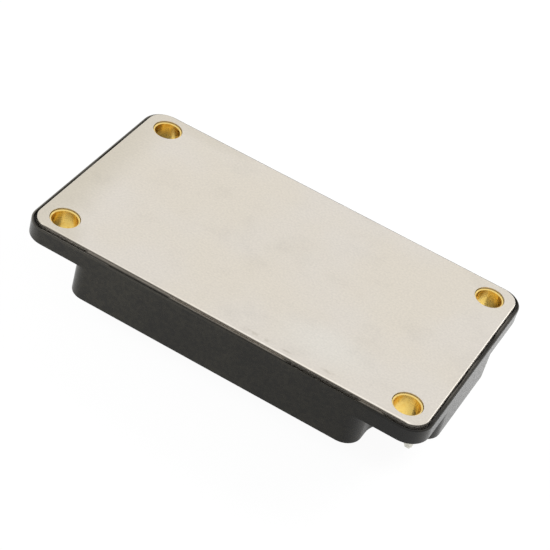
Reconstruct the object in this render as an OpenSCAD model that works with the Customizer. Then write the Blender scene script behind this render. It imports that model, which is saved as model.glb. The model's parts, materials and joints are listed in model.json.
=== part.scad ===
// Low-profile power transistor module with solder pins, lying with its base plate up.
// The origin is on the surface under the pin tips, at the middle of the module.

/* [Mounting] */
// Distance between the mounting holes along the module
hole_pitch_x = 93; // [88:0.5:100]
// Distance between the mounting holes across the module
hole_pitch_y = 48; // [46:0.5:54]
// Bore of each mounting bush
screw_hole_d = 6.4; // [5.4:0.1:7]
// Wall of each mounting bush
bush_wall = 0.45; // [0.35:0.05:0.8]
// Chamfer at the lips of each mounting bush
bush_chamfer = 0.2; // [0.1:0.05:0.3]
// Width of the shoulder that seats each mounting bush under the flange
bush_shoulder = 0.7; // [0.5:0.1:1]
// Height of that shoulder, which carries the screw head
bush_stand = 2.2; // [1.4:0.1:2.8]
// Depth of each mounting bush under the face of the base plate
bush_recess = 0.4; // [0.2:0.05:0.6]
// Clearance between a mounting bush and the base plate
bush_gap = 0.1; // [0.05:0.05:0.3]

/* [Base plate] */
// Distance from a mounting hole to the end edge of the base plate
plate_edge_x = 6.25; // [5.5:0.25:8]
// Distance from a mounting hole to the long edge of the base plate
plate_edge_y = 5.75; // [5.25:0.25:7]
// Thickness of the base plate
plate_t = 3; // [2.4:0.1:3.6]
// Corner radius of the base plate
plate_corner_r = 4.5; // [3:0.5:5.5]
// Height of the base plate's face above the housing rim
plate_proud = 0.9; // [0.4:0.1:1.4]
// Broken edge round the face of the base plate
plate_ease = 0.2; // [0.1:0.05:0.3]

/* [Housing] */
// Width of the groove round the base plate
groove_w = 0.8; // [0.5:0.05:1]
// Width of the rim round the groove
rim_w = 0.45; // [0.4:0.05:1]
// Broken outer edge of the rim
rim_ease = 0.2; // [0.1:0.05:0.35]
// Height of the sealant in the groove
sealant_h = 1; // [0.5:0.1:1.6]
// Thickness of the flange under the base plate
flange_t = 2; // [1.6:0.1:2.6]
// Height of the module from its deck to the face of the base plate
module_h = 14.3; // [13.8:0.1:17]
// Distance of the body's end faces behind the flange
end_setback = 0.3; // [0.1:0.1:0.8]
// Radius of the clear space round each mounting screw
notch_r = 7; // [6:0.25:8]
// Radius of the rounded mouth of each corner notch
notch_mouth_r = 4.5; // [3.5:0.5:6]
// Thickness of the body's side walls
wall_t = 2.8; // [2.3:0.1:3.2]
// Thickness of the deck that closes the body
deck_t = 2.8; // [2.4:0.1:3.2]

/* [Lid] */
// Thickness of the lid
lid_t = 1.5; // [1.2:0.1:1.8]
// Distance from the cavity's walls to the edge of the lid
lid_inset = 1.2; // [0.8:0.1:1.6]
// Width of the ledge that carries the lid
lid_ledge = 1.5; // [1:0.1:2]
// Corner radius of the lid
lid_corner_r = 2; // [1:0.25:3]
// Clearance round the lid
lid_gap = 0.15; // [0.05:0.05:0.3]
// Clearance between the lid's stiffening ribs and the level of the busbars
rib_gap = 0.8; // [0.4:0.1:1.6]
// Thickness of the lid's stiffening ribs
rib_t = 1.2; // [0.8:0.1:1.6]
// Distance of each stiffening rib from the lid's middle line
rib_y = 9; // [7:0.5:11]

/* [Terminals] */
// Length of the pins outside the deck
pin_out = 6; // [4:0.25:8]
// Thickness of the busbars and power pins
strip_t = 1.2; // [0.8:0.1:1.4]
// Width of each power pin
power_pin_w = 2.2; // [1.6:0.1:2.6]
// Width of a power pin's tip
power_tip_w = 1.1; // [0.6:0.1:1.4]
// Length of the tapered end of a power pin
power_tip_l = 1; // [0.6:0.1:1.6]
// Distance of the power pins from the body's end face
power_pin_end = 5.5; // [5:0.25:7]
// Plastic between the outer power pins and the notch
power_pin_cover = 1.5; // [1.1:0.1:1.8]
// Distance between the two power pins of a pole
power_pin_pitch = 4.5; // [4:0.25:5.5]
// Width of each busbar
busbar_w = 4; // [3:0.25:4.5]
// Depth of the busbars' deck side under the base plate
busbar_depth = 7; // [6.7:0.1:7.8]
// Clearance between a busbar and the cavity's wall
busbar_gap = 0.3; // [0.2:0.05:0.5]
// Length of a busbar's or phase pin's soldered foot
foot_l = 3; // [2.4:0.1:3.4]
// Distance between the two phase pins of a leg
phase_pin_pitch = 5; // [4.5:0.25:6]
// Diameter of each signal pin
signal_pin_d = 1; // [0.8:0.05:1.2]
// Diameter of a signal pin's soldered foot
signal_foot_d = 1.8; // [1.5:0.1:2.2]
// Thickness of a signal pin's soldered foot
signal_foot_t = 0.5; // [0.3:0.1:0.8]
// Length of the tapered end of a signal pin
signal_tip_l = 0.6; // [0.4:0.1:1]
// Clearance round a power pin moulded into the frame
frame_pin_gap = 0.05; // [0.02:0.01:0.1]
// Clearance round a pin in the lid
lid_pin_gap = 0.2; // [0.1:0.05:0.3]

/* [Substrates] */
// Number of substrate tiles, one for each leg of the bridge
legs = 3; // [2:1:3]
// Clearance between the end tiles and the cavity's walls
tile_end_gap = 0.8; // [0.5:0.1:1.2]
// Clearance between neighbouring tiles
tile_gap = 1; // [0.6:0.1:1.6]
// Clearance between the tiles and the cavity's long walls
tile_side_gap = 4; // [3:0.25:4.5]
// Thickness of a tile's ceramic
ceramic_t = 0.63; // [0.38:0.05:1]
// Thickness of the copper on each face of a tile
copper_t = 0.3; // [0.2:0.05:0.4]
// Bare ceramic round the copper
copper_margin = 0.8; // [0.5:0.1:1.2]
// Gap between neighbouring tracks
track_gap = 0.8; // [0.5:0.1:1.1]
// Length of the gate and source tracks together, across the module
signal_track_l = 6.5; // [6:0.25:7]
// Length of the plus track across the module
plus_track_l = 11; // [10:0.25:12]
// Length of the minus track across the module
minus_track_l = 6.2; // [5.8:0.1:7]

/* [Chips] */
// Side of each square transistor chip
chip_l = 6; // [5:0.25:6.25]
// Thickness of each transistor chip
chip_t = 0.4; // [0.2:0.05:0.6]
// Distance of the chips from a leg's middle line
chip_x = 6; // [5.5:0.1:6.4]
// Distance of the chips from the edge of their track
chip_margin = 0.6; // [0.4:0.1:0.8]
// Diameter of each bond wire
wire_d = 0.4; // [0.25:0.05:0.5]
// Distance between the source wires of a chip
wire_pitch = 1.5; // [1.2:0.1:1.7]
// Angle of a bond wire's arc
wire_arc = 100; // [80:5:110]
// Length of a bond wire's flattened foot
wire_foot_l = 1.2; // [0.8:0.1:1.6]
// Width of a bond wire's flattened foot
wire_foot_w = 0.5; // [0.4:0.05:0.7]
// Thickness of a bond wire's flattened foot
wire_foot_t = 0.3; // [0.2:0.05:0.4]
// Distance of a bond wire's landing from the edge of its track
landing = 1; // [0.8:0.1:1.4]
// Distance of the gate and sense wires from a chip's edge
gate_inset = 0.6; // [0.4:0.1:0.8]
// Length of the thermistor, across its two tracks
thermistor_l = 2; // [1.6:0.1:3]
// Width of the thermistor
thermistor_w = 1.2; // [0.8:0.1:1.4]
// Height of the thermistor
thermistor_h = 0.9; // [0.5:0.1:1.2]
// Width of the thermistor's tracks
thermistor_track_w = 3.2; // [3:0.1:3.6]
// Thickness of the gel over the base plate
gel_t = 5.2; // [5:0.1:5.6]

/* [Hidden] */
$fn = 48;
// How far a cut runs past the face that it opens
over = 1;
// Smallest radius in the moulding
least_r = 0.5;

hole_x = hole_pitch_x / 2;
hole_y = hole_pitch_y / 2;
bush_d = screw_hole_d + 2 * bush_wall;
plate_l = hole_pitch_x + 2 * plate_edge_x;
plate_w = hole_pitch_y + 2 * plate_edge_y;
pocket_l = plate_l + 2 * groove_w;
pocket_w = plate_w + 2 * groove_w;
pocket_corner_r = plate_corner_r + groove_w;
housing_l = pocket_l + 2 * rim_w;
housing_w = pocket_w + 2 * rim_w;
body_x = housing_l / 2 - end_setback;
body_y = housing_w / 2;

// Heights, from the pin tips up to the face of the base plate
z_deck = pin_out;
z_floor = z_deck + deck_t;
z_face = z_deck + module_h;
z_rim = z_face - plate_proud;
z_seat = z_face - plate_t;
z_bus = z_seat - busbar_depth;
z_flange = z_seat - flange_t;
z_bush_lip = z_face - bush_recess;
z_bush_head = z_flange - bush_stand;
z_ceramic = z_seat - copper_t;
z_track_back = z_ceramic - ceramic_t;
z_track = z_track_back - copper_t;
z_chip = z_track - chip_t;
z_gel = z_seat - gel_t;

// Inner faces of the cavity: long walls, notch walls beside the tiles, notch walls of the end blocks
cavity_y = body_y - wall_t;
cavity_x = hole_x - notch_r - wall_t;
end_block_y = hole_y - notch_r;
end_cavity_y = end_block_y - wall_t;

lid_l = 2 * (cavity_x - lid_inset);
lid_w = 2 * (cavity_y - lid_inset);

tile_w = (2 * cavity_x - 2 * tile_end_gap - (legs - 1) * tile_gap) / legs;
tile_l = 2 * (cavity_y - tile_side_gap);
copper_x = tile_w / 2 - copper_margin;
copper_y = tile_l / 2 - copper_margin;
function leg_x(i) = (i - (legs - 1) / 2) * (tile_w + tile_gap);

// Tracks as [lowest x, highest x, lowest y, highest y] on a tile
signal_strip_l = (signal_track_l - track_gap) / 2;
signal_y = copper_y - signal_track_l;
signal_x = -copper_x + thermistor_track_w + track_gap;
plus_y = signal_y - track_gap;
minus_y = -plus_y + minus_track_l;
plus_track = [-copper_x, copper_x, plus_y - plus_track_l, plus_y];
minus_track = [-copper_x, copper_x, -plus_y, minus_y];
phase_track = [-copper_x, copper_x, minus_y + track_gap, plus_y - plus_track_l - track_gap];
gate_track = [signal_x, copper_x, signal_y, signal_y + signal_strip_l];
source_track = [signal_x, copper_x, copper_y - signal_strip_l, copper_y];
thermistor_x = -copper_x + thermistor_track_w;
function flipped(track) = [track[0], track[1], -track[3], -track[2]];
function mid_y(track) = (track[2] + track[3]) / 2;

high_chip_y = plus_track[2] + chip_margin + chip_l / 2;
low_chip_y = phase_track[2] + chip_margin + chip_l / 2;
gate_wire_x = chip_x - chip_l / 2 + gate_inset;
sense_wire_x = chip_x + chip_l / 2 - gate_inset;

busbar_y = end_cavity_y - busbar_gap - busbar_w / 2;
power_pin_x = body_x - power_pin_end;
power_pin_y = end_block_y - power_pin_cover - strip_t / 2;
power_pin_rows = [power_pin_y, power_pin_y - power_pin_pitch];
phase_pin_rows = [for (s = [-1, 1]) mid_y(phase_track) + s * phase_pin_pitch / 2];
gate_pin = [signal_x + signal_foot_d / 2 + landing / 2, mid_y(gate_track)];
source_pin = [chip_x - wire_pitch, mid_y(source_track)];
thermistor_pin_x = thermistor_x - signal_foot_d / 2;
thermistor_pin_rows = [mid_y(gate_track), mid_y(source_track)];

// Rectangle with round corners
module rounded(l, w, r) {
    square([l - 2 * r, w], center = true);
    square([l, w - 2 * r], center = true);
    for (x = [-1, 1], y = [-1, 1])
        translate([x * (l / 2 - r), y * (w / 2 - r)])
            circle(r);
}

// Plate of a given outline between two heights
module slab(low, high) {
    translate([0, 0, low])
        linear_extrude(high - low)
            children();
}

// Slab with round corners and a broken upper edge
module eased_slab(l, w, r, low, high, ease) {
    difference() {
        slab(low, high)
            rounded(l, w, r);
        for (x = [0, 1], y = [0, 1])
            mirror([x, 0])
                mirror([0, y])
                    translate([l / 2 - r, w / 2 - r, high]) {
                        rotate_extrude(angle = 90)
                            translate([r, 0])
                                edge_cut(ease);
                        rotate([90, 0, 0])
                            linear_extrude(w / 2 - r)
                                translate([r, 0])
                                    edge_cut(ease);
                        rotate([90, 0, 90])
                            mirror([0, 0, 1])
                                linear_extrude(l / 2 - r)
                                    translate([r, 0])
                                        edge_cut(ease);
                    }
    }
}

// What a broken edge takes off a right angle whose corner is at the origin
module edge_cut(ease) {
    polygon([[-ease, 0], [-ease, over], [over, over], [over, -ease], [0, -ease]]);
}

module at_holes() {
    for (x = [-1, 1], y = [-1, 1])
        translate([x * hole_x, y * hole_y])
            children();
}

// What a round edge takes off an outside corner at x, y
module corner_cut(x, y, r) {
    translate([x - r, y - r])
        difference() {
            square(r + over);
            circle(r);
        }
}

// Clear space round one mounting screw, open to the end and to the long side
module notch(inset) {
    r = notch_r + inset;
    mouth_r = max(notch_mouth_r - inset, least_r);
    translate([hole_x, hole_y]) {
        circle(r);
        translate([-r, 0])
            square(housing_w);
        translate([0, -r])
            square(housing_w);
    }
    corner_cut(hole_x - r, body_y - inset, mouth_r);
    corner_cut(body_x - inset, hole_y - r, mouth_r);
}

// Outline of the body, moved inwards by inset
module body_outline(inset) {
    difference() {
        square([2 * (body_x - inset), 2 * (body_y - inset)], center = true);
        for (x = [0, 1], y = [0, 1])
            mirror([x, 0])
                mirror([0, y])
                    notch(inset);
    }
}

module pocket_outline() {
    rounded(pocket_l, pocket_w, pocket_corner_r);
}

// Half section of a mounting bush: chamfered bore, tube, and shoulder under the flange
module bush_section() {
    bore_r = screw_hole_d / 2;
    tube_r = bush_d / 2;
    shoulder_r = tube_r + bush_shoulder;
    polygon([
        [bore_r, z_bush_lip - bush_chamfer], [bore_r + bush_chamfer, z_bush_lip],
        [tube_r, z_bush_lip], [tube_r, z_flange], [shoulder_r, z_flange],
        [shoulder_r, z_bush_head + bush_chamfer], [shoulder_r - bush_chamfer, z_bush_head],
        [bore_r + bush_chamfer, z_bush_head], [bore_r, z_bush_head + bush_chamfer]
    ]);
}

module base_plate() color("#d9d3c9") {
    difference() {
        eased_slab(plate_l, plate_w, plate_corner_r, z_seat, z_face, plate_ease);
        at_holes()
            translate([0, 0, z_seat - over])
                cylinder(h = plate_t + 2 * over, d = bush_d + 2 * bush_gap);
    }
}

module sealant_bead() color("#5b5a57") {
    slab(z_seat, z_seat + sealant_h)
        difference() {
            pocket_outline();
            rounded(plate_l, plate_w, plate_corner_r);
        }
}

module mount_bush(x, y) color("#c9983f") {
    translate([x, y, 0])
        rotate_extrude()
            bush_section();
}

// Outside of the frame: flange with its rim, and the notched body under it
module frame_blank() {
    eased_slab(housing_l, housing_w, pocket_corner_r + rim_w, z_flange, z_rim, rim_ease);
    slab(z_deck, z_flange)
        body_outline(0);
}

// Slots for the power pins, and the seats of the busbar ends in the walls of the end block
module power_pin_slots() {
    slot_w = power_pin_w + 2 * frame_pin_gap;
    slot_t = strip_t + 2 * frame_pin_gap;
    for (side = [-1, 1]) {
        for (y = power_pin_rows)
            translate([power_pin_x - slot_w / 2, side * y - slot_t / 2, z_deck - over])
                cube([slot_w, slot_t, z_bus - z_deck + over]);
        seat_y = side > 0 ? end_cavity_y - over : -power_pin_y - slot_t / 2;
        translate([power_pin_x - slot_w / 2, seat_y, z_bus])
            cube([slot_w, power_pin_y + slot_t / 2 - end_cavity_y + over, z_seat - z_bus + over]);
    }
}

module housing_frame() color("#2a2b2c") {
    difference() {
        frame_blank();
        slab(z_seat, z_face)
            pocket_outline();
        slab(z_floor, z_seat + over)
            body_outline(wall_t);
        slab(z_deck - over, z_deck + lid_t)
            rounded(lid_l + 2 * lid_gap, lid_w + 2 * lid_gap, lid_corner_r + lid_gap);
        slab(z_deck, z_floor + over)
            square([lid_l - 2 * lid_ledge, lid_w - 2 * lid_ledge], center = true);
        at_holes()
            translate([0, 0, z_flange - over])
                cylinder(h = flange_t + 2 * over, d = bush_d);
        power_pin_slots();
    }
}

module lid() color("#303133") {
    rib_l = lid_l - 2 * lid_ledge - 2 * lid_inset;
    rib_h = z_bus - rib_gap - z_deck - lid_t;
    difference() {
        slab(z_deck, z_deck + lid_t)
            rounded(lid_l, lid_w, lid_corner_r);
        for (i = [0 : legs - 1])
            translate([leg_x(i), 0, z_deck - over])
                lid_pin_holes(lid_t + 2 * over);
        for (y = thermistor_pin_rows)
            translate([leg_x(0) + thermistor_pin_x, y, z_deck - over])
                cylinder(h = lid_t + 2 * over, d = signal_pin_d + 2 * lid_pin_gap);
    }
    for (side = [-1, 1])
        translate([-rib_l / 2, side * rib_y - rib_t / 2, z_deck + lid_t])
            cube([rib_l, rib_t, rib_h]);
}

// Holes in the lid for the pins of one leg
module lid_pin_holes(h) {
    for (y = phase_pin_rows)
        translate([-power_pin_w / 2 - lid_pin_gap, y - strip_t / 2 - lid_pin_gap, 0])
            cube([power_pin_w + 2 * lid_pin_gap, strip_t + 2 * lid_pin_gap, h]);
    for (side = [-1, 1], pin = [gate_pin, source_pin])
        translate([pin[0], side * pin[1], 0])
            cylinder(h = h, d = signal_pin_d + 2 * lid_pin_gap);
}

// Flat pin with a tapered tip, from the surface under the tips up to a height
module power_pin(top) {
    translate([0, strip_t / 2, 0])
        rotate([90, 0, 0])
            linear_extrude(strip_t)
                polygon([
                    [-power_tip_w / 2, 0], [power_tip_w / 2, 0],
                    [power_pin_w / 2, power_tip_l], [power_pin_w / 2, top],
                    [-power_pin_w / 2, top], [-power_pin_w / 2, power_tip_l]
                ]);
}

// Busbar on the minus side: strip, one soldered leg for each tile, and two pins at the end
module terminal() {
    strip_x = leg_x(0) - foot_l / 2;
    side_y = -busbar_y - busbar_w / 2;
    translate([strip_x, side_y, z_bus])
        cube([power_pin_x + power_pin_w / 2 - strip_x, busbar_w, strip_t]);
    translate([power_pin_x - power_pin_w / 2, -power_pin_y - strip_t / 2, z_bus])
        cube([power_pin_w, power_pin_pitch + strip_t, strip_t]);
    for (y = power_pin_rows)
        translate([power_pin_x, -y, 0])
            power_pin(z_bus + strip_t);
    for (i = [0 : legs - 1])
        translate([leg_x(i) - foot_l / 2, side_y, 0]) {
            translate([0, 0, z_bus])
                cube([strip_t, busbar_w, z_track - z_bus]);
            translate([0, 0, z_track - strip_t])
                cube([foot_l, busbar_w, strip_t]);
        }
}

module minus_terminal() color("#cfcfca") {
    terminal();
}

module plus_terminal() color("#cfcfca") {
    mirror([0, 1, 0])
        terminal();
}

// Flat rectangle over a track, between two heights
module on_track(track, low, high) {
    translate([track[0], track[2], low])
        cube([track[1] - track[0], track[3] - track[2], high - low]);
}

module bottom_copper(i) color("#b87346") {
    translate([leg_x(i), 0, 0])
        on_track([-copper_x, copper_x, -copper_y, copper_y], z_ceramic, z_seat);
}

module ceramic(i) color("#ece9e1") {
    translate([leg_x(i), 0, 0])
        on_track([-tile_w / 2, tile_w / 2, -tile_l / 2, tile_l / 2], z_track_back, z_ceramic);
}

module track_copper(i) color("#b87346") {
    translate([leg_x(i), 0, 0]) {
        for (track = [plus_track, phase_track, minus_track, gate_track, source_track,
                      flipped(gate_track), flipped(source_track)])
            on_track(track, z_track, z_track_back);
        if (i == 0)
            for (strip = [gate_track, source_track])
                on_track([-copper_x, thermistor_x, strip[2], strip[3]], z_track, z_track_back);
    }
}

module chips(i, y) {
    for (side = [-1, 1])
        translate([leg_x(i) + side * chip_x - chip_l / 2, y - chip_l / 2, z_chip])
            cube([chip_l, chip_l, chip_t]);
}

module high_side_chips(i) color("#8d8f96") {
    chips(i, high_chip_y);
}

module low_side_chips(i) color("#8d8f96") {
    chips(i, low_chip_y);
}

// Flattened end of a bond wire on a face at height z
module wire_end(y, z) {
    translate([-wire_foot_w / 2, y - wire_foot_l / 2, z - wire_foot_t])
        cube([wire_foot_w, wire_foot_l, wire_foot_t]);
}

// One bond wire between two points [y, z], the first with the lower y
module bond_wire(from, to) {
    rise = to[1] - from[1];
    span = to[0] - from[0];
    arc_r = norm([span, rise]) / (2 * sin(wire_arc / 2));
    translate([0, (from[0] + to[0]) / 2, (from[1] + to[1] - wire_foot_t) / 2])
        rotate([atan2(rise, span), 0, 0])
            translate([0, 0, arc_r * cos(wire_arc / 2)])
                rotate([90, 0, 90])
                    rotate(-90 - wire_arc / 2)
                        rotate_extrude(angle = wire_arc)
                            translate([arc_r, 0])
                                circle(d = wire_d);
    wire_end(from[0], from[1]);
    wire_end(to[0], to[1]);
}

module bond_wires(i) color("#c4c6c9") {
    gate_edge = chip_l / 2 - landing;
    for (side = [-1, 1], k = [-1, 0, 1])
        translate([leg_x(i) + side * (chip_x + k * wire_pitch), 0, 0]) {
            bond_wire([phase_track[3] - landing, z_track], [high_chip_y, z_chip]);
            bond_wire([minus_y - landing, z_track], [low_chip_y, z_chip]);
        }
    for (side = [-1, 1])
        translate([leg_x(i) + side * gate_wire_x, 0, 0]) {
            bond_wire([high_chip_y + gate_edge, z_chip], [mid_y(gate_track), z_track]);
            bond_wire([-mid_y(gate_track), z_track], [low_chip_y - gate_edge, z_chip]);
        }
    translate([leg_x(i) + sense_wire_x, 0, 0]) {
        bond_wire([high_chip_y, z_chip], [mid_y(source_track), z_track]);
        bond_wire([-mid_y(source_track), z_track], [low_chip_y, z_chip]);
    }
}

module phase_pins(i) color("#cfcfca") {
    for (y = phase_pin_rows)
        translate([leg_x(i), y, 0]) {
            power_pin(z_track);
            translate([-power_pin_w / 2, -strip_t / 2, z_track - strip_t])
                cube([power_pin_w, foot_l, strip_t]);
        }
}

// Round pin with a tapered tip and a soldered foot
module signal_pin() {
    cylinder(h = signal_tip_l, d1 = signal_pin_d / 2, d2 = signal_pin_d);
    translate([0, 0, signal_tip_l])
        cylinder(h = z_track - signal_tip_l, d = signal_pin_d);
    translate([0, 0, z_track - signal_foot_t])
        cylinder(h = signal_foot_t, d = signal_foot_d);
}

module signal_pins(i, pin) {
    for (side = [-1, 1])
        translate([leg_x(i) + pin[0], side * pin[1], 0])
            signal_pin();
}

module gate_pins(i) color("#cfcfca") {
    signal_pins(i, gate_pin);
}

module source_pins(i) color("#cfcfca") {
    signal_pins(i, source_pin);
}

module thermistor() color("#4a3a33") {
    mid = (gate_track[3] + source_track[2]) / 2;
    translate([leg_x(0) - copper_x, mid - thermistor_l / 2, z_track - thermistor_h])
        cube([thermistor_w, thermistor_l, thermistor_h]);
}

module thermistor_pins() color("#cfcfca") {
    for (y = thermistor_pin_rows)
        translate([leg_x(0) + thermistor_pin_x, y, 0])
            signal_pin();
}

// Gel over the tiles, with everything that it surrounds taken out
module silicone_gel() color([0.85, 0.87, 0.85, 0.4]) {
    difference() {
        slab(z_gel, z_seat)
            body_outline(wall_t);
        for (i = [0 : legs - 1]) {
            bottom_copper(i);
            ceramic(i);
            track_copper(i);
            high_side_chips(i);
            low_side_chips(i);
            bond_wires(i);
            phase_pins(i);
            gate_pins(i);
            source_pins(i);
        }
        plus_terminal();
        minus_terminal();
        thermistor();
        thermistor_pins();
    }
}

base_plate();
housing_frame();
lid();
sealant_bead();
silicone_gel();
mount_bush(-hole_x, -hole_y);  // mount_bush_1
mount_bush(hole_x, -hole_y);  // mount_bush_2
mount_bush(-hole_x, hole_y);  // mount_bush_3
mount_bush(hole_x, hole_y);  // mount_bush_4
plus_terminal();
minus_terminal();
for (i = [0 : legs - 1]) {
    bottom_copper(i);
    ceramic(i);
    track_copper(i);
    high_side_chips(i);
    low_side_chips(i);
    bond_wires(i);
    phase_pins(i);
    gate_pins(i);
    source_pins(i);
}
thermistor();
thermistor_pins();
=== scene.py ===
# %% [markdown]
# # A power transistor module
# The module lies on its pins with the cooling plate up, as it lies on a bench before it is bolted to a
# heat sink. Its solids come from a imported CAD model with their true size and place. This lesson gives
# them what CAD leaves out: rounded edges, the uneven bead of sealant, and the finish of every metal and
# plastic. Each step says what the real thing is, how it could be made, and why it is made this way.

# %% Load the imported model
import json
import math
from collections import namedtuple

import bmesh
import bpy
from mathutils import Matrix, Vector, noise


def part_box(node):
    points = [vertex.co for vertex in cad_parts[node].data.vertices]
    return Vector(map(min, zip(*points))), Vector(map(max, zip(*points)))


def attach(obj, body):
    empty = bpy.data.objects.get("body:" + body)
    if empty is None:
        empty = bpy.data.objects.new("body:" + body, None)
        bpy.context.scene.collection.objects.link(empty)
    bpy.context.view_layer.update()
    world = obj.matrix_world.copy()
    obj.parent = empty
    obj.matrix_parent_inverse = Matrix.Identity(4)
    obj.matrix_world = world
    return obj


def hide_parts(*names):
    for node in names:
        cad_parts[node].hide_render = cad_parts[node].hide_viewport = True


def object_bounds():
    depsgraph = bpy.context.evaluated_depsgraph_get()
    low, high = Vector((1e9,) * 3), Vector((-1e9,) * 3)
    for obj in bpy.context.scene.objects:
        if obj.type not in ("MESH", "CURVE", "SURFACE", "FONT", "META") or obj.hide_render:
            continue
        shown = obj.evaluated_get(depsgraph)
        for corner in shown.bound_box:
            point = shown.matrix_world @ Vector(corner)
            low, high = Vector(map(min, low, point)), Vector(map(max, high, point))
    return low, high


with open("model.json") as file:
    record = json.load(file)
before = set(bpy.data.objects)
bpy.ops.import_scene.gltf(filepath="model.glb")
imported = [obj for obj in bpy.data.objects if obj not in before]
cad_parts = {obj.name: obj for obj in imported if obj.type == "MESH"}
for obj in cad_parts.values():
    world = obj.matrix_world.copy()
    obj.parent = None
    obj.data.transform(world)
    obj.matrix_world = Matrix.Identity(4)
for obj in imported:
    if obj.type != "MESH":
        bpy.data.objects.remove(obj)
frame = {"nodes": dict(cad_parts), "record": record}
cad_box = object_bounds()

MM = 0.001
nodes = frame["nodes"]
print("nodes", len(nodes), "size in mm", [round(side / MM, 2) for side in cad_box[1] - cad_box[0]])

# %% [markdown]
# ## Measures
# A piece made here has to fit the solids round it. Typing their sizes again would be quick, but the two
# would drift apart when the CAD model changes, so the measures are read from the boxes of the nodes and
# from the screw pattern in the record. Only the round of the plate's corners is in neither.

# %% Measures from the solids
PLATE_CORNER = 4.5 * MM

plate_low, plate_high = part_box("base_plate")
bead_low, bead_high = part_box("sealant_bead")
housing_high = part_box("housing_frame")[1]
bush_low, bush_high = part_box("mount_bush_1")
plate_face = plate_high.z
rim_top = housing_high.z
screw_mount = next(mount for mount in frame["record"]["mounts"] if mount["name"] == "screw_pattern")
screw_x = screw_mount["dims"]["spacing_x_mm"] / 2 * MM
screw_y = screw_mount["dims"]["spacing_y_mm"] / 2 * MM
bore_r = screw_mount["dims"]["hole_r_mm"] * MM
print("plate face at", round(plate_face / MM, 2), "mm, rim at", round(rim_top / MM, 2), "mm")

# %% [markdown]
# ## Camera
# The picture is taken with a long lens from above the near long side, a little towards the end with the
# power pins, and the camera is rolled. An empty with a Track To constraint would aim it, but gives no
# roll, so the camera's axes are worked out from three angles, and its place from a target and a
# distance.

# %% Camera
VIEW_AZIMUTH = math.radians(17.85)
VIEW_ELEVATION = math.radians(39.31)
VIEW_ROLL = math.radians(16.56)
VIEW_TARGET = Vector((1.96 * MM, -6.47 * MM, plate_face))
VIEW_DISTANCE = 457.5 * MM
LENS_MM = 125.95

back = Vector((
    math.sin(VIEW_AZIMUTH) * math.cos(VIEW_ELEVATION),
    -math.cos(VIEW_AZIMUTH) * math.cos(VIEW_ELEVATION),
    math.sin(VIEW_ELEVATION),
))
level = Vector((math.cos(VIEW_AZIMUTH), math.sin(VIEW_AZIMUTH), 0))
upright = back.cross(level)
right = level * math.cos(VIEW_ROLL) + upright * math.sin(VIEW_ROLL)
up = back.cross(right)

camera = bpy.data.objects.new("camera", bpy.data.cameras.new("camera"))
camera.data.lens = LENS_MM
camera.matrix_world = Matrix((right, up, back)).transposed().to_4x4()
camera.matrix_world.translation = VIEW_TARGET + back * VIEW_DISTANCE
scene = bpy.context.scene
scene.collection.objects.link(camera)
scene.camera = camera
scene.view_settings.view_transform = "Standard"
print("camera at", [round(side / MM) for side in camera.matrix_world.translation], "mm")

# %% [markdown]
# ## Sums with sockets
# A finish is a sum: a colour, plus some grain, less some dirt. Node trees hide that sum in boxes and
# lines. Here one small class stands for a socket and takes part in Python sums, so 0.4 + 0.1 * grain
# adds the Math nodes by itself. Vectors go through Vector Math and colours through Mix, because a Math
# node would turn a colour grey.

# %% Sums with sockets
class Wire:
    """An output socket that takes part in sums."""

    def __init__(self, board, socket):
        self.board = board
        self.socket = socket

    def join(self, operation, first, second):
        """Two values, vectors or colours in the one node that suits their sockets."""
        kinds = {part.socket.type for part in (first, second) if isinstance(part, Wire)}
        if "RGBA" in kinds:
            settings = {"data_type": "RGBA", "blend_type": operation}
            sockets = {"Factor_Float": 1.0, "A_Color": first, "B_Color": second}
            return self.board.node("ShaderNodeMix", settings, sockets, "Result_Color")
        kind = "ShaderNodeVectorMath" if "VECTOR" in kinds else "ShaderNodeMath"
        return self.board.node(kind, {"operation": operation}, {0: first, 1: second})

    def __add__(self, other):
        return self.join("ADD", self, other)

    __radd__ = __add__

    def __mul__(self, other):
        return self.join("MULTIPLY", self, other)

    __rmul__ = __mul__

    def __sub__(self, other):
        return self.join("SUBTRACT", self, other)

    def __rsub__(self, other):
        return self.join("SUBTRACT", other, self)

    def __pow__(self, power):
        return self.join("POWER", self, power)

    def __abs__(self):
        return self.board.node("ShaderNodeMath", {"operation": "ABSOLUTE"}, {0: self})

    def above(self, other):
        """The greater of two values."""
        return self.join("MAXIMUM", self, other)

    def step(self, start, end):
        """0 below start, 1 above end, and smooth between them."""
        settings = {"interpolation_type": "SMOOTHSTEP"}
        sockets = {"Value": self, "From Min": start, "From Max": end}
        return self.board.node("ShaderNodeMapRange", settings, sockets)

    def blend(self, low, high):
        """The colour low where this is 0, and high where it is 1."""
        sockets = {"Factor_Float": self, "A_Color": low, "B_Color": high}
        return self.board.node("ShaderNodeMix", {"data_type": "RGBA"}, sockets, "Result_Color")

    def part(self, axis):
        """One coordinate of a vector."""
        return self.board.node("ShaderNodeSeparateXYZ", {}, {"Vector": self}, axis)


def known(kind):
    """The names of a class's own operators and methods."""
    return ", ".join(name.strip("_") for name in vars(kind) if callable(getattr(kind, name)))


print("a wire knows", known(Wire))

# %% [markdown]
# ## A board of nodes
# A node tree is a board with wires between its nodes. Blender's own calls take a line for each node,
# each setting and each link. Here one method takes a node's type, its settings and what its sockets get,
# and gives back the wire that comes out. The settings go first, because they decide which sockets there
# are.

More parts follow.
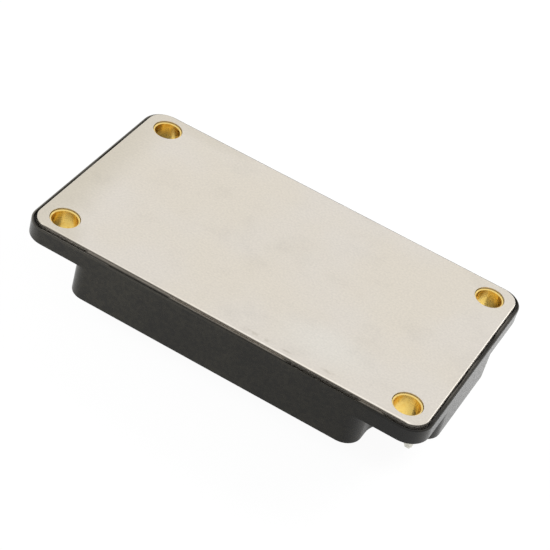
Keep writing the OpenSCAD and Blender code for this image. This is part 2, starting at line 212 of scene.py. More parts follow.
# %% A board of nodes
class Board:
    """A node tree that nodes are wired into."""

    def __init__(self, tree):
        self.tree = tree
        tree.nodes.clear()

    def find(self, sockets, key):
        """A socket by its number, its identifier or its name."""
        if isinstance(key, int):
            return sockets[key]
        return next(socket for socket in sockets if key in (socket.identifier, socket.name))

    def feed(self, socket, value):
        """Links a wire to a socket, or sets the socket to a number, a vector or a colour."""
        if isinstance(value, Wire):
            self.tree.links.new(value.socket, socket)
        elif socket.type in ("RGBA", "VECTOR") and isinstance(value, (int, float)):
            socket.default_value = [value] * len(socket.default_value)
        elif socket.type == "RGBA":
            socket.default_value = (*value, 1)
        else:
            socket.default_value = value

    def node(self, kind, settings, sockets, output=0):
        """Adds a node and gives back the wire from one of its outputs, if it has any."""
        made = self.tree.nodes.new(kind)
        for name, value in settings.items():
            setattr(made, name, value)
        for key, value in sockets.items():
            self.feed(self.find(made.inputs, key), value)
        return Wire(self, self.find(made.outputs, output)) if made.outputs else None


def ray_kinds(board):
    """1 for a ray from the camera, and 1 for a ray that gloss or glass sends on."""
    kinds = ("Is Camera Ray", "Is Glossy Ray", "Is Transmission Ray")
    seen, glossy, glass = (board.node("ShaderNodeLightPath", {}, {}, kind) for kind in kinds)
    return seen, glossy + glass


print("a board knows", known(Board))

# %% [markdown]
# ## Light tent
# Small parts are shot in a light tent: white cloth all round, so metal reflects white from every side.
# A ring of lamps would leave bright dots in the brass, so a white world is the tent. The ray's kind sets
# the world's strength: what the camera and the metals see of it is plain white, and what lights the part
# is less.

# %% Light tent
TENT_LIGHT = 0.5
WHITE = (1, 1, 1)

world = bpy.data.worlds.new("light_tent")
world.use_nodes = True
scene.world = world
tent = Board(world.node_tree)
seen, mirrored = ray_kinds(tent)
strength = TENT_LIGHT + (1 - TENT_LIGHT) * (seen + mirrored)
cloth = tent.node("ShaderNodeBackground", {}, {"Color": WHITE, "Strength": strength})
tent.node("ShaderNodeOutputWorld", {}, {"Surface": cloth})
print("the tent has", len(tent.tree.nodes), "nodes and gives", TENT_LIGHT, "of plain light")

# %% [markdown]
# ## Soft boxes
# In an even tent all walls of the module would look alike. Two soft boxes light the paper at the near
# left and behind the right end, so that the walls, which mirror that paper, change slowly along the
# module. Gloss doesn't see these two boxes, because they would stand in the brass as bright dots. A
# third box is weak and far off behind the right end. Gloss does see it, as a brighter patch of the tent
# that glints on the edges facing it.

# %% Soft boxes
def soft_box(name, place, size, radiance):
    """A square lamp that faces the module and looks as bright as radiance says."""
    lamp = bpy.data.lights.new(name, "AREA")
    lamp.size = size
    lamp.energy = radiance * math.pi * size ** 2
    box = bpy.data.objects.new(name, lamp)
    box.location = place
    box.rotation_euler = Vector(place).to_track_quat("Z", "Y").to_euler()
    scene.collection.objects.link(box)
    return box


paper_boxes = [
    soft_box("front_box", place=(-0.19, -0.14, 0.13), size=0.12, radiance=14.0),
    soft_box("end_box", place=(0.19, 0.36, 0.20), size=0.25, radiance=24.5),
]
for box in paper_boxes:
    box.visible_glossy = False
edge_box = soft_box("edge_box", place=(0.60, 0.66, 0.14), size=0.35, radiance=0.6)
print("boxes for the paper", [box.name for box in paper_boxes], "and for the edges", edge_box.name)

# %% [markdown]
# ## Floor
# The floor is a sheet of white paper. A plain diffuse plane would look grey next to the tent, so a part
# of it glows, but only for rays from the camera, the metals and glass. The rest is diffuse and keeps the
# module's soft shadow. Gloss sees less of the glow and more of the shadow, because the dark paper beside
# the module is what makes its long wall look black.

# %% Floor
FLOOR_SIZE = 4.0
FLOOR_GAP = 0.02 * MM
PAPER_WHITE = (0.9, 0.9, 0.9)
CAMERA_GLOW = 0.95
GLOSS_GLOW = 0.55

bpy.ops.mesh.primitive_plane_add(size=FLOOR_SIZE, location=(0, 0, cad_box[0].z - FLOOR_GAP))
floor = bpy.context.object
floor.name = "floor"
paper = bpy.data.materials.new("white_paper")
paper.use_nodes = True
sheet = Board(paper.node_tree)
seen, mirrored = ray_kinds(sheet)
diffuse = sheet.node("ShaderNodeBsdfDiffuse", {}, {"Color": PAPER_WHITE})
glow = sheet.node("ShaderNodeEmission", {}, {"Color": WHITE, "Strength": 1.0})
share = CAMERA_GLOW * seen + GLOSS_GLOW * mirrored
surface = sheet.node("ShaderNodeMixShader", {}, {"Fac": share, 1: diffuse, 2: glow})
sheet.node("ShaderNodeOutputMaterial", {}, {"Surface": surface})
floor.data.materials.append(paper)
print("floor", FLOOR_SIZE, "m wide at", round(floor.location.z / MM, 2), "mm")

# %% [markdown]
# ## Pieces from solids
# CAD edges are perfectly sharp, and a sharp edge catches no light. A CAD node's own mesh stays as it
# is, so each visible solid gets a copy. Its seams are welded and its flat triangles joined to whole
# faces, and then a Bevel modifier rounds every edge by the radius that the real piece has. Modelling
# the pieces again by hand would give the same shape with more to go wrong.

# %% Pieces from solids
WELD = 0.002 * MM
FLAT = math.radians(0.4)
SHARP = math.radians(28)
ROUND_STEPS = 3


def new_piece(name, shape):
    """An object from a bmesh, shaded smooth up to its sharp edges."""
    bmesh.ops.recalc_face_normals(shape, faces=shape.faces)
    mesh = bpy.data.meshes.new(name)
    shape.to_mesh(mesh)
    shape.free()
    if "custom_normal" in mesh.attributes:
        mesh.attributes.remove(mesh.attributes["custom_normal"])
    mesh.shade_smooth()
    mesh.set_sharp_from_angle(angle=SHARP)
    piece = bpy.data.objects.new(name, mesh)
    scene.collection.objects.link(piece)
    return piece


def round_edges(piece, radius):
    """Rounds the sharp edges of a piece."""
    rounding = piece.modifiers.new("round_edges", "BEVEL")
    rounding.width = radius
    rounding.segments = ROUND_STEPS
    rounding.limit_method = "ANGLE"
    rounding.angle_limit = SHARP
    rounding.harden_normals = True
    return piece


def rounded_copy(node, name, radius):
    """A copy of a node's solid with round edges."""
    shape = bmesh.new()
    shape.from_mesh(nodes[node].data)
    bmesh.ops.remove_doubles(shape, verts=shape.verts, dist=WELD)
    bmesh.ops.dissolve_limit(shape, angle_limit=FLAT, verts=shape.verts, edges=shape.edges)
    return round_edges(new_piece(name, shape), radius)


def shown(piece, material, slot, *stands_for):
    """Gives a piece its finish, ties it to the module and hides the nodes it stands for."""
    piece.data.materials.clear()
    piece.data.materials.append(material)
    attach(piece, "root")
    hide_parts(*stands_for)
    return piece


print("edges over", round(math.degrees(SHARP)), "degrees are rounded")

# %% [markdown]
# ## A finish in millimetres
# Each material here is one Principled surface, and patterns feed its colour, its roughness and a bump.
# UV maps would have to be laid out for every piece. The patterns lie in the object's own space instead,
# measured in millimetres, so a grain of 0.5 is half a millimetre on every piece.

# %% A finish in millimetres
HARD_SPLIT = (0.35, 0.65)
SOFT_SPLIT = (0.3, 0.7)
SCREEN_TOE = 0.04045
SCREEN_SLOPE = 12.92
SCREEN_OFFSET = 0.055
SCREEN_POWER = 2.4


class Finish(Board):
    """A material with one Principled surface, whose patterns are measured in millimetres."""

    def __init__(self, name):
        self.material = bpy.data.materials.new(name)
        self.material.use_nodes = True
        super().__init__(self.material.node_tree)
        surface = self.node("ShaderNodeBsdfPrincipled", {}, {}, "BSDF")
        self.surface = surface.socket.node
        self.node("ShaderNodeOutputMaterial", {}, {"Surface": surface})
        self.place = self.node("ShaderNodeTexCoord", {}, {}, "Object") * (1 / MM)

    def put(self, name, value):
        """Feeds one socket of the surface."""
        self.feed(self.surface.inputs[name], value)

    def vector(self, numbers):
        """A vector from three numbers or wires."""
        return self.node("ShaderNodeCombineXYZ", {}, dict(zip("XYZ", numbers)))

    def noise(self, size, detail, stretch=(1, 1, 1), seed=0.0):
        """Noise from 0 to 1 with lumps of a given size, longer where stretch is larger."""
        scaled = self.place * self.vector([1 / (size * longer) for longer in stretch])
        sockets = {"Vector": scaled + seed, "Scale": 1.0, "Detail": detail}
        return self.node("ShaderNodeTexNoise", {}, sockets)

    def bump(self, height, depth):
        """Raises the surface by height times depth."""
        sockets = {"Height": height * (depth * MM), "Strength": 1.0, "Distance": 1.0}
        self.put("Normal", self.node("ShaderNodeBump", {}, sockets))


def span(first, second):
    """How far off a point is that lies first one way and second across it."""
    return (first ** 2 + second ** 2) ** 0.5


def screen_colour(red, green, blue):
    """A colour as a screen shows it, from 0 to 255, in the linear values that shaders use."""
    linear = []
    for part in (red / 255, green / 255, blue / 255):
        curve = ((part + SCREEN_OFFSET) / (1 + SCREEN_OFFSET)) ** SCREEN_POWER
        linear.append(part / SCREEN_SLOPE if part <= SCREEN_TOE else curve)
    return linear


print("a mid grey of 128 is", round(screen_colour(128, 128, 128)[0], 3), "in linear light")

# %% [markdown]
# ## Marks and painted shade on the plate
# The plate is darker at its left end, as painted shade where its rolled edge turns away from the light,
# and darker in patches beside the two holes there; a thumb has rubbed a paler patch, and a tray has
# scuffed the near edge. An image could carry such marks, but would be tied to one plate.
# Each mark is a soft oval instead, with its strength, its middle and its half length and half width.

# %% Marks and painted shade on the plate
Mark = namedtuple("Mark", "strength x y half_l half_w")
MARK_FADES = (0.2, 1.0)
DARKENED = [
    # Painted shade: the first mark darkens the left end, where the rolled edge turns away from the
    # light.
    Mark(1.0, -54, -8, 12.5, 70),
    Mark(0.55, -38, 29, 18, 5),
    Mark(0.8, -44, -30, 7, 9),
]
RUBBED = [Mark(0.8, 23, -20, 17, 9)]
SCUFFED = [
    Mark(0.35, 9, -28.0, 9, 0.9),
    Mark(0.35, 16.6, -28.1, 2.4, 0.5),
    Mark(0.35, 27.4, -27.5, 2.6, 0.7),
]


def oval(finish, mark):
    """The strength of a mark, full in its middle and 0 outside it."""
    reach = finish.place - finish.vector((mark.x, mark.y, 0))
    scaled = reach * finish.vector((1 / mark.half_l, 1 / mark.half_w, 0))
    far = finish.node("ShaderNodeVectorMath", {"operation": "LENGTH"}, {0: scaled}, "Value")
    return mark.strength * (1 - far.step(*MARK_FADES))


print("marks on the plate", len(DARKENED), "dulled,", len(RUBBED), "rubbed,", len(SCUFFED), "scuffed")

# %% [markdown]
# ## Edges of the plate
# The near edge and the right one carry a painted highlight, stronger towards the right. The near side
# and the near right corner are painted with shade just under the face and light lower down. A vertex
# group could hold these places, but a flat face has no vertices inside it, so they come from the
# distance past the plate's side, its end and its corner.

# %% Edges of the plate
HIGHLIGHT_BAND = (-0.7, -0.15)
END_NARROWER = 2.2
EDGE_HIGHLIGHT = 0.08
EDGE_HIGHLIGHT_MORE = 0.20
EDGE_HIGHLIGHT_MORE_ALONG = (-45, 30)
EDGE_HIGHLIGHT_LESS = 0.03
EDGE_HIGHLIGHT_LESS_BY_END = (-1.5, -0.7)
SIDE_FROM = (-0.14, -0.04)
CORNER_FROM = (-0.05, -0.01)
CORNER_TO_END = (-27.0, -25.5)


def plate_edges(nickel):
    """The painted highlight along the edges of the face, and 1 on the near side and the near right
    corner.
    """
    x, y = (nickel.place.part(axis) for axis in "XY")
    corner = PLATE_CORNER / MM
    past_end = x - plate_high.x / MM
    past_side = plate_low.y / MM - y
    past_corner = span((past_end + corner).above(0), (past_side + corner).above(0)) - corner
    near_corner = past_corner.step(*CORNER_FROM) * (1 - y.step(*CORNER_TO_END))
    side = past_side.step(*SIDE_FROM).above(near_corner)
    edge = past_side.above(END_NARROWER * past_end).step(*HIGHLIGHT_BAND)
    # Painted highlight: the near and right edges are painted brighter, most towards the right.
    painted_highlight = EDGE_HIGHLIGHT + EDGE_HIGHLIGHT_MORE * x.step(*EDGE_HIGHLIGHT_MORE_ALONG) - EDGE_HIGHLIGHT_LESS * past_end.step(*EDGE_HIGHLIGHT_LESS_BY_END)
    return painted_highlight * edge * (1 - side), side


# The rubbed edges in this print are the painted highlight.
print("rubbed edges up to", EDGE_HIGHLIGHT + EDGE_HIGHLIGHT_MORE, "brighter, within", -HIGHLIGHT_BAND[0], "mm of the near side")

# %% [markdown]
# ## Satin nickel
# The plate is copper, plated with nickel that comes out of the bath a warm, slightly yellow white. It
# was rolled and blasted before, so it is dull: light spreads, and a fine grain shows from near. Slow
# clouds and darker blotches come from the bath. The near side is painted dark just under the face, as
# painted shade, and light lower down, as painted light. A flat grey metal would look like painted card,
# so colour, roughness and height all follow the same grain.

# %% Satin nickel
NICKEL_WARM = screen_colour(221, 214, 202)
NICKEL_COOL = screen_colour(221, 215, 206)
NICKEL_RUBBED = screen_colour(223, 219, 211)
NICKEL_DARKENED = screen_colour(211, 204, 190)
NICKEL_SCUFFED = screen_colour(176, 169, 154)
NICKEL_SIDE_LIGHT = screen_colour(228, 221, 209)
NICKEL_SIDE_SHADE = screen_colour(122, 116, 107)
SIDE_SHADE_FROM = (-0.60, -0.35)
BLOTCHED = (0.5, 0.8)
PLATE_ROUND = 0.14 * MM


def satin_nickel():
    nickel = Finish("satin_nickel")
    clouds = nickel.noise(size=26, detail=2)
    blotches = nickel.noise(size=8, detail=4, seed=31)
    grain = nickel.noise(size=0.55, detail=3, seed=11)
    broken = nickel.noise(size=1.4, detail=3, seed=41).step(*HARD_SPLIT)
    tone = clouds.step(*HARD_SPLIT).blend(NICKEL_WARM, NICKEL_COOL)
    for mark in RUBBED:
        tone = oval(nickel, mark).blend(tone, NICKEL_RUBBED)
    for mark in DARKENED:
        tone = oval(nickel, mark).blend(tone, NICKEL_DARKENED)
    for mark in SCUFFED:
        tone = (broken * oval(nickel, mark)).blend(tone, NICKEL_SCUFFED)
    painted_highlight, side = plate_edges(nickel)
    # Painted shade and light on the near side: dark just under the face, and light lower down.
    side_shade = (nickel.place.part("Z") - plate_face / MM).step(*SIDE_SHADE_FROM)
    tone = side.blend(tone, side_shade.blend(NICKEL_SIDE_LIGHT, NICKEL_SIDE_SHADE))
    shade = 0.885 + 0.26 * grain - 0.05 * blotches.step(*BLOTCHED) + painted_highlight
    nickel.put("Base Color", tone * shade)
    nickel.put("Metallic", 1.0)
    nickel.put("Roughness", 0.34 + 0.10 * grain + 0.06 * blotches)
    nickel.bump(grain, depth=0.004)
    return nickel.material


plate = rounded_copy("base_plate", "cooling_plate", PLATE_ROUND)
shown(plate, satin_nickel(), "nickel", "base_plate")
print(plate.name, "has", len(plate.data.polygons), "faces before rounding")

# %% [markdown]
# ## Black moulding
# The frame and the lid are glass-filled plastic, nearly black, and the near wall is painted blacker
# towards the right, as painted shade. Almost all that is seen of it is the tent in its skin, stronger at
# a low angle: that is why the end face looks light grey and the long wall black. So the colour stays
# dark and the gloss does the work, with a fine grain from the etched mould. The top of the rim is
# painted paler, as painted sheen, most at the left end, and less and less towards the right.

# %% Black moulding
MOULDING_BLACK = screen_colour(22, 20, 14)
MOULDING_GREY = screen_colour(28, 26, 19)
MOULDING_SHEEN = screen_colour(80, 77, 71)
MOULDING_IOR = 1.355
MOULDING_ROUND = 0.12 * MM
RIM_FROM = (-0.30, -0.18)
RIM_SHEEN = 0.25
END_SHEEN = 0.75
END_SHEEN_ALONG = (-53.6, -51)
LESS_SHEEN = [(0.14, -15, 15), (0.09, 28, 40)]
WALL_SHADE = 0.7
WALL_SHADE_ALONG = (30, 46)
WALL_SHADE_BY_WALL = (-30.5, -27.5)


def rim_sheen(moulding):
    """How strongly the top of the rim is painted paler, as painted sheen, and 0 below it."""
    along = moulding.place.part("X")
    sheen = RIM_SHEEN + END_SHEEN * (1 - along.step(*END_SHEEN_ALONG))
    for share, start, end in LESS_SHEEN:
        sheen = sheen - share * along.step(start, end)
    return sheen * (moulding.place.part("Z") - rim_top / MM).step(*RIM_FROM)


def black_moulding():
    moulding = Finish("black_moulding")
    flow = moulding.noise(size=9, detail=4).step(*SOFT_SPLIT)
    blotches = moulding.noise(size=0.9, detail=3, seed=23).step(*SOFT_SPLIT)
    grain = moulding.noise(size=0.5, detail=3, seed=5)
    # Painted shade: the near wall is painted blacker towards its right end.
    near_wall = 1 - moulding.place.part("Y").step(*WALL_SHADE_BY_WALL)
    shade = 1 - WALL_SHADE * moulding.place.part("X").step(*WALL_SHADE_ALONG) * near_wall
    tone = flow.blend(MOULDING_BLACK, MOULDING_GREY) * (0.6 + 0.7 * blotches) * shade
    # Painted sheen: the top of the rim is painted paler, most at the left end.
    moulding.put("Base Color", rim_sheen(moulding).blend(tone, MOULDING_SHEEN))
    moulding.put("Roughness", 0.20 + 0.08 * grain + 0.06 * blotches)
    moulding.put("IOR", MOULDING_IOR)
    moulding.bump(grain, depth=0.012)
    return moulding.material


black = black_moulding()
housing = rounded_copy("housing_frame", "moulded_frame", MOULDING_ROUND)
shown(housing, black, "housing", "housing_frame")
lid = rounded_copy("lid", "moulded_lid", MOULDING_ROUND)
shown(lid, black, "housing", "lid")
print(housing.name, len(housing.data.polygons), "faces,", lid.name, len(lid.data.polygons), "faces")

# %% [markdown]
# ## Turned brass
# The bushes are bright inside, and mirror the white floor and the black notch below. The tool leaves
# fine lines round the bore that smear the mirror image along the axis. A bump alone would need lines
# finer than a pixel, so the gloss is anisotropic, and the lines vary the tint, the roughness and the
# height only a little. The lip was faced last and is the palest part.

# %% Turned brass
BRASS_BRIGHT = [0.84, 0.60, 0.165]
BRASS_STAINED = [0.74, 0.45, 0.08]
BRASS_FACED = [0.89, 0.66, 0.24]
STAINED = (0.52, 0.78)
LINES_PER_MM = 6.0
FACED_DEPTH = 0.24 * MM
SMEAR = 0.65
SMEAR_TURN = 0.25


def turned_brass():
    brass = Finish("turned_brass")
    x, y, height = (brass.place.part(axis) for axis in "XYZ")
    radius = span(abs(x) - screw_x / MM, abs(y) - screw_y / MM)
    along = brass.vector([radius * LINES_PER_MM, 0, height * LINES_PER_MM])
    lines = brass.node("ShaderNodeTexNoise", {}, {"Vector": along, "Scale": 1.0, "Detail": 3.0})
    stains = brass.noise(size=1.7, detail=3, seed=3)
    lip = height.step((bush_high.z - FACED_DEPTH) / MM, bush_high.z / MM)
    tone = lip.blend(stains.step(*STAINED).blend(BRASS_BRIGHT, BRASS_STAINED), BRASS_FACED)
    brass.put("Base Color", tone * (0.94 + 0.12 * lines))
    brass.put("Metallic", 1.0)
    brass.put("Roughness", 0.22 + 0.06 * lines + 0.06 * stains)
    brass.put("Anisotropic", SMEAR)
    brass.put("Anisotropic Rotation", SMEAR_TURN)
    brass.bump(lines, depth=0.002)
    return brass.material


brass = turned_brass()
print(brass.name, "has", len(brass.node_tree.nodes), "nodes")

# %% [markdown]
# ## Bushes
# Each screw hole has a brass bush, so that a tight screw doesn't crush the plastic. A copy of the solid
# would do, but its flat facets would break the mirror image. So its half section is turned round the
# axis here, as on the lathe that makes the real one, in more steps than CAD needs.

# %% Bushes
BUSH_WALL = 0.45 * MM
BUSH_CHAMFER = 0.2 * MM
BUSH_STAND = 2.2 * MM
BUSH_STEPS = 144
BUSH_ROUND = 0.05 * MM
BUSH_SIDES = [(-1, -1), (1, -1), (-1, 1), (1, 1)]


def bush_section():
    """The half section of a bush as points of radius and height, once round."""
    tube_r = bore_r + BUSH_WALL
    shoulder_r = (bush_high.x - bush_low.x) / 2
    low, seat, high = bush_low.z, bush_low.z + BUSH_STAND, bush_high.z
    return [
        (bore_r, low + BUSH_CHAMFER), (bore_r, high - BUSH_CHAMFER),
        (bore_r + BUSH_CHAMFER, high), (tube_r, high), (tube_r, seat), (shoulder_r, seat),
        (shoulder_r, low + BUSH_CHAMFER), (shoulder_r - BUSH_CHAMFER, low), (bore_r + BUSH_CHAMFER, low),
    ]


def skin(shape, rings):
    """Faces between neighbouring rings of points, and between the last ring and the first."""
    count = len(rings[0])
    for ring, following in zip(rings, rings[1:] + rings[:1]):
        for i in range(count):
            j = (i + 1) % count
            shape.faces.new((ring[i], following[i], following[j], ring[j]))


def turned(name, section, x, y):
    """A solid of revolution about an upright axis."""
    shape = bmesh.new()
    rings = []
    for step in range(BUSH_STEPS):
        turn = math.tau * step / BUSH_STEPS
        corners = [(x + r * math.cos(turn), y + r * math.sin(turn), z) for r, z in section]
        rings.append([shape.verts.new(corner) for corner in corners])
    skin(shape, rings)
    return round_edges(new_piece(name, shape), BUSH_ROUND)


for number, (side_x, side_y) in enumerate(BUSH_SIDES, start=1):
    bush = turned(f"turned_bush_{number}", bush_section(), side_x * screw_x, side_y * screw_y)
    shown(bush, brass, "brass", f"mount_bush_{number}")
print(len(BUSH_SIDES), "bushes with", BUSH_STEPS, "steps, bore radius", round(bore_r / MM, 2), "mm")

# %% [markdown]
# ## Line of the groove
# Dark sealant glues the plate into the frame, in a groove that runs once round the plate. A curve with a
# bevel would lay an even tube there. The groove is walked in small steps instead, and each station knows
# which way is outward, so that the bead can have its own shape at every station.

# %% Line of the groove
BEAD_STEP = 0.3 * MM


def groove_line(half_l, half_w, corner):
    """Points along a rectangle with round corners, each with its outward direction."""
    stations = []
    quarter = Matrix.Rotation(math.pi / 2, 3, "Z")
    outward = Vector((0, -1, 0))
    start = Vector((-half_l + corner, -half_w + corner, 0))
    for length in (2 * (half_l - corner), 2 * (half_w - corner)) * 2:
        along = quarter @ outward
        end = start + along * length
        steps = round(length / BEAD_STEP)
        stations += [(start.lerp(end, i / steps) + outward * corner, outward) for i in range(steps)]
        turns = round(corner * math.pi / 2 / BEAD_STEP)
        for i in range(turns):
            aside = Matrix.Rotation(math.pi / 2 * i / turns, 3, "Z") @ outward
            stations.append((end + aside * corner, aside))
        start, outward = end, along
    return stations


groove = bead_high.x - plate_high.x
middle = groove / 2
stations = groove_line(plate_high.x + middle, plate_high.y + middle, PLATE_CORNER + middle)
print("groove", round(groove / MM, 2), "mm wide, with", len(stations), "stations")

# %% [markdown]
# ## Height of the sealant
# Where there was too much sealant, the plate has pressed it up as a hump along its side, which was wiped
# and has paled, with a dark gap left beside the rim. A plain ring looks machined, and noise alone puts
# the humps anywhere. So named stretches of the near side carry a hump by the plate, which may drop to
# a foot there, or a shelf along the rim. The ends are filled to the rim with a crack by the plate, and
# slow noise does the rest.

# %% Height of the sealant
Stretch = namedtuple("Stretch", "start end depth width fall foot", defaults=[0.0])
HUMPS = [
    Stretch(-38 * MM, -11 * MM, depth=0.46 * MM, width=0.0, fall=0.16),
    Stretch(-15 * MM, 19 * MM, depth=0.71 * MM, width=0.43, fall=0.08, foot=0.18 * MM),
    Stretch(35.5 * MM, 45 * MM, depth=0.67 * MM, width=0.52, fall=0.08, foot=0.40 * MM),
]
SHELVES = [
    Stretch(-60 * MM, -28 * MM, depth=0.15 * MM, width=0.28, fall=0.2),
    Stretch(-31 * MM, -12 * MM, depth=0.30 * MM, width=0.35, fall=0.2),
]
STRETCH_END = 2.5 * MM
FOOT_WIDTH = 0.22
GAP_BELOW_RIM = 0.9 * MM
SAG = 0.15 * MM
SWELL = 0.15 * MM
SWELL_SIZE = 14 * MM
FILL_BELOW_RIM = 0.12 * MM
FILL_FROM = -26 * MM
FILL = 0.75
FILL_VARIES = 1.2
CRACK = 0.12
CRACK_VARIES = 0.3
CRACK_SIZE = 5 * MM
CRACK_FALL = 0.3


def ease(value):
    """A smooth step from 0 to 1."""
    value = max(0.0, min(1.0, value))
    return value * value * (3 - 2 * value)


def inside(stretch, point):
    """1 along a stretch of the near side, and less towards its ends."""
    return ease(min(point.x - stretch.start, stretch.end - point.x) / STRETCH_END)


def near_height(point, across, swell):
    """Height along the near side, with its shelves and humps."""
    height = rim_top - GAP_BELOW_RIM - SAG * math.sin(math.pi * across) + SWELL * swell
    for shelf in SHELVES:
        share = inside(shelf, point) * ease((across - shelf.width) / shelf.fall)
        height += share * max(0.0, rim_top - shelf.depth - height)
    for hump in HUMPS:
        share = inside(hump, point) * (1 - ease((across - hump.width) / hump.fall))
        crest = plate_face - hump.depth - hump.foot * (1 - ease(across / FOOT_WIDTH))
        height += share * max(0.0, crest - height)
    return height


def end_height(point, across, swell):
    """Height along the ends, the far side and the corners."""
    crack = CRACK + CRACK_VARIES * noise.noise(point / CRACK_SIZE)
    fill = ease(FILL + FILL_VARIES * swell) * ease((across - crack) / CRACK_FALL)
    fill *= ease((point.y - FILL_FROM) / STRETCH_END)
    sagged = bead_high.z - SAG * math.sin(math.pi * across)
    return sagged + fill * (rim_top - FILL_BELOW_RIM - bead_high.z)


print("stretches with a hump", len(HUMPS), "and with a shelf", len(SHELVES))

# %% [markdown]
# ## Bead of sealant
# The real bead was squeezed out in one go, so it is one closed ring. Displacing the solid's mesh would
# need it cut finely first. The ring is skinned from a section at every station instead: a row of heights
# from the plate to the rim, with small lumps on them, over a flat foot.

# %% Bead of sealant
BEAD_COLUMNS = 21
BEAD_MARGIN = 0.01 * MM
LUMPS = [(0.05 * MM, 0.9 * MM), (0.03 * MM, 0.35 * MM)]
NEAR_SIDE = -0.99


def bead_section(point, outward):
    """Points of the bead at one station, from the plate to the rim."""
    foot = Vector((0, 0, bead_low.z))
    half = outward * (middle - BEAD_MARGIN)
    swell = noise.noise(point / SWELL_SIZE)
    height = end_height if outward.y > NEAR_SIDE else near_height
    section = [point - half + foot]
    for column in range(BEAD_COLUMNS):
        across = column / (BEAD_COLUMNS - 1)
        spot = point + half * (2 * across - 1)
        lump = sum(tall * noise.noise(spot / size) for tall, size in LUMPS)
        spot.z = height(point, across, swell) + lump
        section.append(spot)
    return section + [point + half + foot]


def sealant_bead():
    shape = bmesh.new()
    sections = [bead_section(point, outward) for point, outward in stations]
    skin(shape, [[shape.verts.new(spot) for spot in section] for section in sections])
    return new_piece("pressed_sealant", shape)


bead = sealant_bead()
print(bead.name, "has", len(bead.data.polygons), "faces")

# %% [markdown]
# ## Cured sealant
# Sealant in the open has been wiped and has paled, and lower in the groove it is painted darker, as
# painted shade. One grey all over would fill the groove with a flat stripe, so the colour follows the
# height over the rim. The near right corner got hardly any sealant, and is painted almost black there,
# as painted shade.

# %% Cured sealant
SEALANT_PALE = screen_colour(125, 119, 110)
SEALANT_GREY = screen_colour(106, 100, 92)
SEALANT_DARK = screen_colour(78, 75, 70)
SEALANT_SHADE = screen_colour(48, 46, 43)
PALE_ABOVE_RIM = (-0.10, 0.02)
SHADE_ABOVE_RIM = (-0.40, -0.18)
CORNER_SHADE = 0.8
CORNER_SHADE_ALONG = (44.0, 46.5)
CORNER_SHADE_TO_END = (-27.0, -22.0)


def cured_sealant():
    sealant = Finish("cured_sealant")
    patches = sealant.noise(size=3.0, detail=3).step(*SOFT_SPLIT)
    fine = sealant.noise(size=0.18, detail=2, seed=7)
    x, y, height = (sealant.place.part(axis) for axis in "XYZ")
    above_rim = height - rim_top / MM
    # Painted shade: the groove at the near right corner is painted almost black.
    corner_shade = CORNER_SHADE * (x.step(*CORNER_SHADE_ALONG) * (1 - y.step(*CORNER_SHADE_TO_END)))
    # Painted shade: lower in the groove the sealant is painted darker, darkest at the bottom.
    shaded_low = above_rim.step(*SHADE_ABOVE_RIM).blend(SEALANT_SHADE, SEALANT_DARK) * (1 - corner_shade)
    pale = patches.blend(SEALANT_GREY, SEALANT_PALE)
    sealant.put("Base Color", above_rim.step(*PALE_ABOVE_RIM).blend(shaded_low, pale))
    sealant.put("Roughness", 0.55 + 0.2 * fine)
    sealant.bump(fine, depth=0.01)
    return sealant.material


shown(bead, cured_sealant(), "sealant", "sealant_bead")
print(bead.name, "is finished in", bead.active_material.name)

# %% [markdown]
# ## Tinned pins
# The pins and busbars are stamped copper strip with a dull tin coat, and they are soldered into a board
# by their tips. Tin is a soft white metal, mottled by the way it froze. The flat ones get round edges;
# the round signal pins are already smooth, so their solids only take the finish.

# %% Tinned pins
TIN_LIGHT = screen_colour(240, 239, 231)
TIN_DULL = screen_colour(222, 221, 211)
PIN_ROUND = 0.1 * MM
FLAT_PINS = ["plus_terminal", "minus_terminal", "phase_pins_1", "phase_pins_2", "phase_pins_3"]
ROUND_PINS = ("gate_pins", "source_pins", "thermistor_pins")


def dull_tin():
    tin = Finish("dull_tin")
    frozen = tin.noise(size=0.9, detail=3)
    drawn = tin.noise(size=0.12, detail=2, stretch=(1, 1, 14), seed=9)
    tin.put("Base Color", frozen.step(*HARD_SPLIT).blend(TIN_DULL, TIN_LIGHT))
    tin.put("Metallic", 1.0)
    tin.put("Roughness", 0.30 + 0.14 * frozen + 0.08 * drawn)
    tin.bump(drawn + 0.5 * frozen, depth=0.004)
    return tin.material


def finish_node(name, material):
    """Puts a finish on a solid that is shown as it is."""
    nodes[name].material_slots[0].material = material


tin = dull_tin()
for node in FLAT_PINS:
    shown(rounded_copy(node, f"tinned_{node}", PIN_ROUND), tin, "tin", node)
round_pins = [node for node in nodes if node.startswith(ROUND_PINS)]
for node in round_pins:
    finish_node(node, tin)
print("flat pins", len(FLAT_PINS), "round pins", len(round_pins))

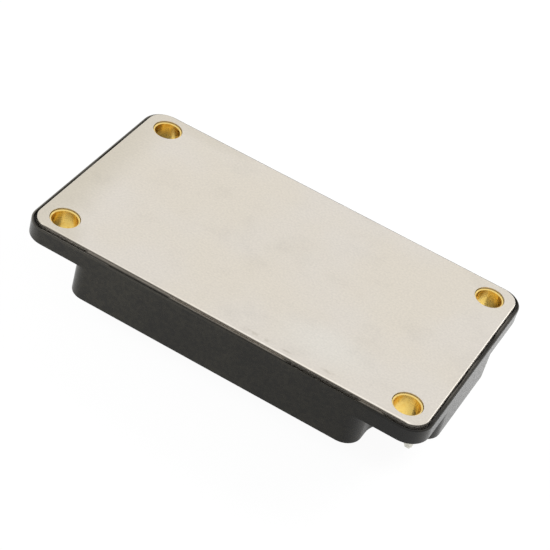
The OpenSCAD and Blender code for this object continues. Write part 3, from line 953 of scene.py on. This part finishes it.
# %% [markdown]
# ## Inside
# Under the plate lie three ceramic tiles with copper on both faces, the transistor chips, their
# aluminium wires, a thermistor and the gel over them. The closed frame hides them all. They still take
# their own finish, so that the module can be opened in another scene. They differ mostly in colour and
# grain, so one function makes them all.

# %% Inside
FINER = 8


def mottled(name, light, dark, size, roughness, metallic=0.0):
    """A finish of two near colours in lumps of a given size."""
    finish = Finish(name)
    lumps = finish.noise(size=size, detail=3).step(*SOFT_SPLIT)
    fine = finish.noise(size=size / FINER, detail=2, seed=13)
    finish.put("Base Color", lumps.blend(dark, light))
    finish.put("Metallic", metallic)
    finish.put("Roughness", roughness + 0.12 * fine)
    finish.bump(fine, depth=0.003)
    return finish


copper = mottled("bare_copper", light=[0.80, 0.46, 0.29], dark=[0.62, 0.31, 0.18],
                 size=2.0, roughness=0.28, metallic=1.0)
ceramic = mottled("fired_ceramic", light=[0.86, 0.84, 0.79], dark=[0.80, 0.77, 0.71],
                  size=1.2, roughness=0.42)
silicon = mottled("metallised_chip", light=[0.62, 0.63, 0.66], dark=[0.50, 0.51, 0.55],
                  size=0.8, roughness=0.22, metallic=1.0)
aluminium = mottled("drawn_aluminium", light=[0.84, 0.85, 0.86], dark=[0.74, 0.75, 0.77],
                    size=0.5, roughness=0.24, metallic=1.0)
sensor = mottled("sintered_thermistor", light=[0.16, 0.11, 0.09], dark=[0.10, 0.07, 0.06],
                 size=0.6, roughness=0.5)
gel = mottled("soft_gel", light=[0.90, 0.92, 0.90], dark=[0.84, 0.86, 0.84],
              size=5.0, roughness=0.08)
gel.put("Transmission Weight", 0.9)
gel.put("IOR", 1.41)
inner_finish = {
    "bottom_copper": copper, "track_copper": copper, "ceramic": ceramic, "bond_wires": aluminium,
    "high_side_chips": silicon, "low_side_chips": silicon, "thermistor": sensor, "silicone_gel": gel,
}
for node in nodes:
    kind = node.rstrip("_123")
    if kind in inner_finish:
        finish_node(node, inner_finish[kind].material)
print("inner finishes", sorted(inner_finish))

# %% [markdown]
# ## Size
# Dressing must not change the size. The box of the solids was kept at the start.
